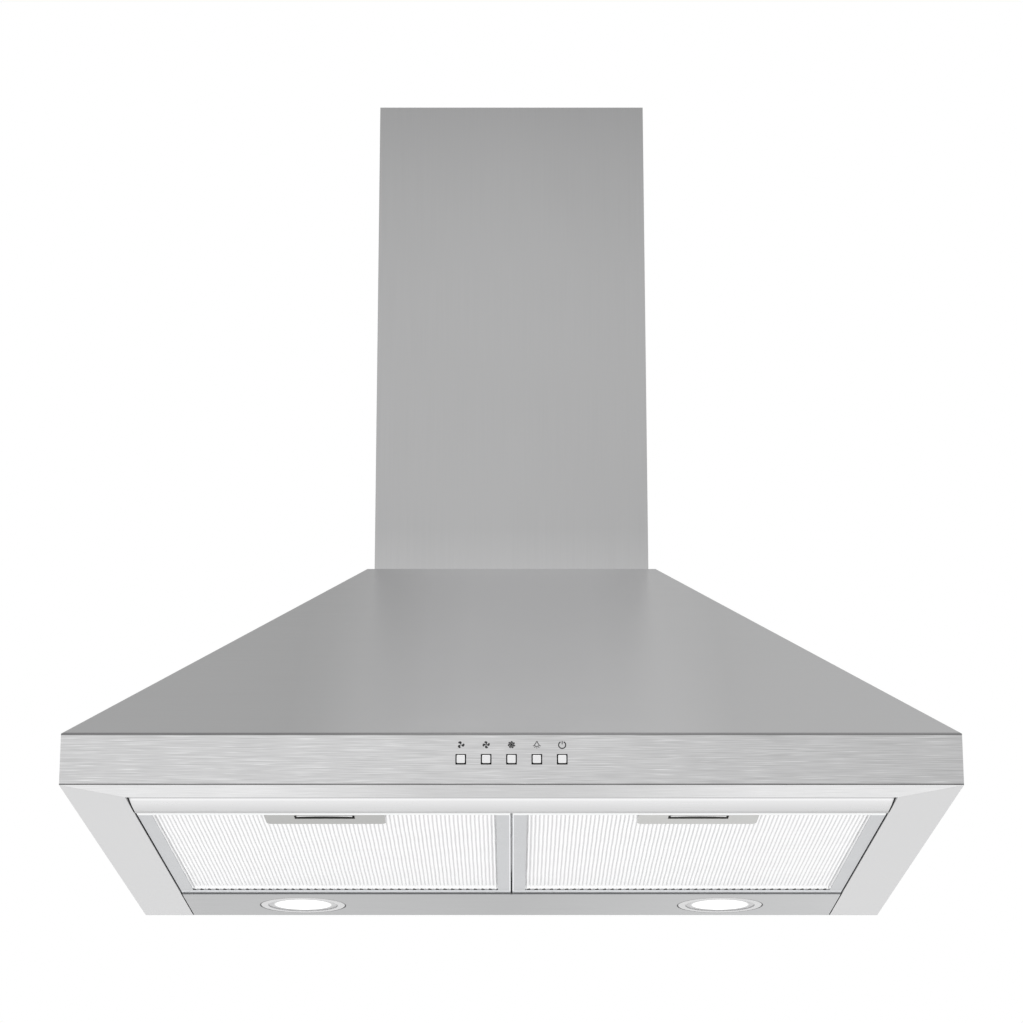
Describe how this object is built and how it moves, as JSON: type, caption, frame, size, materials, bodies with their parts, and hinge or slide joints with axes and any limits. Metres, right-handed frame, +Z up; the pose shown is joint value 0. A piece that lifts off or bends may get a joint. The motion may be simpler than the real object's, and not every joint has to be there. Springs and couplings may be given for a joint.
{
  "type": "canopy range hood",
  "caption": "Wall-mounted pyramid range hood with a telescoping chimney, push buttons, lift-out grease filters, lamps and an internal double-inlet blower.",
  "frame": {"origin": "on the wall plane, at the middle of the back of the hood's underside", "axes": "+X to the right seen from the room, +Y towards the wall, +Z up"},
  "size_m": [0.6, 0.501, 0.6276],
  "materials": {
    "stainless": "brushed stainless steel, fine grain",
    "stainless_fascia": "brushed stainless steel, horizontal grain",
    "galvanised": "galvanised sheet, satin",
    "zinc_screw": "bright zinc plated",
    "filter_aluminium": "bright aluminium",
    "mesh_aluminium": "ribbed aluminium mesh",
    "handle_steel": "satin",
    "wheel_plastic": "moulded, satin",
    "motor_paint": "dark enamel",
    "stator_copper": "varnished windings on laminations",
    "ground_steel": "ground",
    "bronze": "sintered",
    "black_plastic": "moulded, matt",
    "white_plastic": "moulded, matt",
    "button_metal": "satin plated",
    "lamp_trim": "satin chrome",
    "lamp_lens": "frosted diffuser"
  },
  "bodies": {
    "root": {"canopy_shell": "stainless", "front_fascia": "stainless_fascia", "back_plate": "galvanised", "front_rail": "stainless", "lamp_panel": "stainless", "filter_guide_left": "stainless", "filter_guide_right": "stainless", "filter_centre_bar": "stainless", "chimney_lower": "stainless", "chimney_screws": "zinc_screw", "blower_screws": "zinc_screw", "blower_housing_left": "galvanised", "blower_housing_right": "galvanised", "inlet_ring_left": "galvanised", "inlet_ring_right": "galvanised", "inlet_screws": "zinc_screw", "motor_body": "motor_paint", "motor_stator": "stator_copper", "motor_bushes": "bronze", "motor_holder": "galvanised", "outlet_collar": "black_plastic", "damper_pin": "ground_steel", "terminal_box": "white_plastic", "terminal_box_cover": "white_plastic", "cable_gland": "black_plastic", "capacitor": "white_plastic", "capacitor_clamp": "galvanised", "lamp_driver": "white_plastic", "switch_body": "black_plastic", "switch_bracket": "galvanised", "lamp_left_bezel": "lamp_trim", "lamp_left_lens": "lamp_lens", "lamp_left_housing": "white_plastic", "lamp_left_clips": "ground_steel", "lamp_right_bezel": "lamp_trim", "lamp_right_lens": "lamp_lens", "lamp_right_housing": "white_plastic", "lamp_right_clips": "ground_steel"},
    "upper_chimney": {"chimney_upper": "stainless", "ceiling_bracket": "galvanised", "bracket_screws": "zinc_screw"},
    "fan": {"impeller": "wheel_plastic", "motor_rotor": "ground_steel", "wheel_nut": "zinc_screw"},
    "flap_front": {"damper_flap_front": "black_plastic"},
    "flap_rear": {"damper_flap_rear": "black_plastic"},
    "filter_left": {"filter_left_frame": "filter_aluminium", "filter_left_mesh": "mesh_aluminium", "filter_left_handle": "handle_steel"},
    "latch_left": {"filter_left_latch": "handle_steel"},
    "filter_right": {"filter_right_frame": "filter_aluminium", "filter_right_mesh": "mesh_aluminium", "filter_right_handle": "handle_steel"},
    "latch_right": {"filter_right_latch": "handle_steel"},
    "button_speed_low": {"button_speed_low": "button_metal"},
    "button_speed_medium": {"button_speed_medium": "button_metal"},
    "button_speed_high": {"button_speed_high": "button_metal"},
    "button_light": {"button_light": "button_metal"},
    "button_power": {"button_power": "button_metal"}
  },
  "joints": [
    {"name": "chimney_extend", "type": "slide", "parent": "root", "child": "upper_chimney", "axis": [0, 0, 1], "range_m": [0, 0.3]},
    {"name": "fan_spin", "type": "hinge", "parent": "root", "child": "fan", "pos_m": [0, -0.151, 0.125], "axis": [1, 0, 0], "continuous": true},
    {"name": "damper_front_open", "type": "hinge", "parent": "root", "child": "flap_front", "pos_m": [0, -0.1, 0.25], "axis": [-1, 0, 0], "range_deg": [0, 75]},
    {"name": "damper_rear_open", "type": "hinge", "parent": "root", "child": "flap_rear", "pos_m": [0, -0.1, 0.25], "axis": [1, 0, 0], "range_deg": [0, 75]},
    {"name": "filter_left_tilt", "type": "hinge", "parent": "root", "child": "filter_left", "pos_m": [-0.1305, -0.0944, 0.0012], "axis": [1, 0, 0], "range_deg": [0, 60]},
    {"name": "latch_left_pull", "type": "slide", "parent": "filter_left", "child": "latch_left", "axis": [0, 1, 0], "range_m": [0, 0.006], "stiffness_N_per_m": 300, "springref_m": -0.002},
    {"name": "filter_right_tilt", "type": "hinge", "parent": "root", "child": "filter_right", "pos_m": [0.1305, -0.0944, 0.0012], "axis": [1, 0, 0], "range_deg": [0, 60]},
    {"name": "latch_right_pull", "type": "slide", "parent": "filter_right", "child": "latch_right", "axis": [0, 1, 0], "range_m": [0, 0.006], "stiffness_N_per_m": 300, "springref_m": -0.002},
    {"name": "button_speed_low_press", "type": "slide", "parent": "root", "child": "button_speed_low", "axis": [0, 1, 0], "range_m": [0, 0.0025], "stiffness_N_per_m": 600, "springref_m": -0.001},
    {"name": "button_speed_medium_press", "type": "slide", "parent": "root", "child": "button_speed_medium", "axis": [0, 1, 0], "range_m": [0, 0.0025], "stiffness_N_per_m": 600, "springref_m": -0.001},
    {"name": "button_speed_high_press", "type": "slide", "parent": "root", "child": "button_speed_high", "axis": [0, 1, 0], "range_m": [0, 0.0025], "stiffness_N_per_m": 600, "springref_m": -0.001},
    {"name": "button_light_press", "type": "slide", "parent": "root", "child": "button_light", "axis": [0, 1, 0], "range_m": [0, 0.0025], "stiffness_N_per_m": 600, "springref_m": -0.001},
    {"name": "button_power_press", "type": "slide", "parent": "root", "child": "button_power", "axis": [0, 1, 0], "range_m": [0, 0.0025], "stiffness_N_per_m": 600, "springref_m": -0.001}
  ]
}
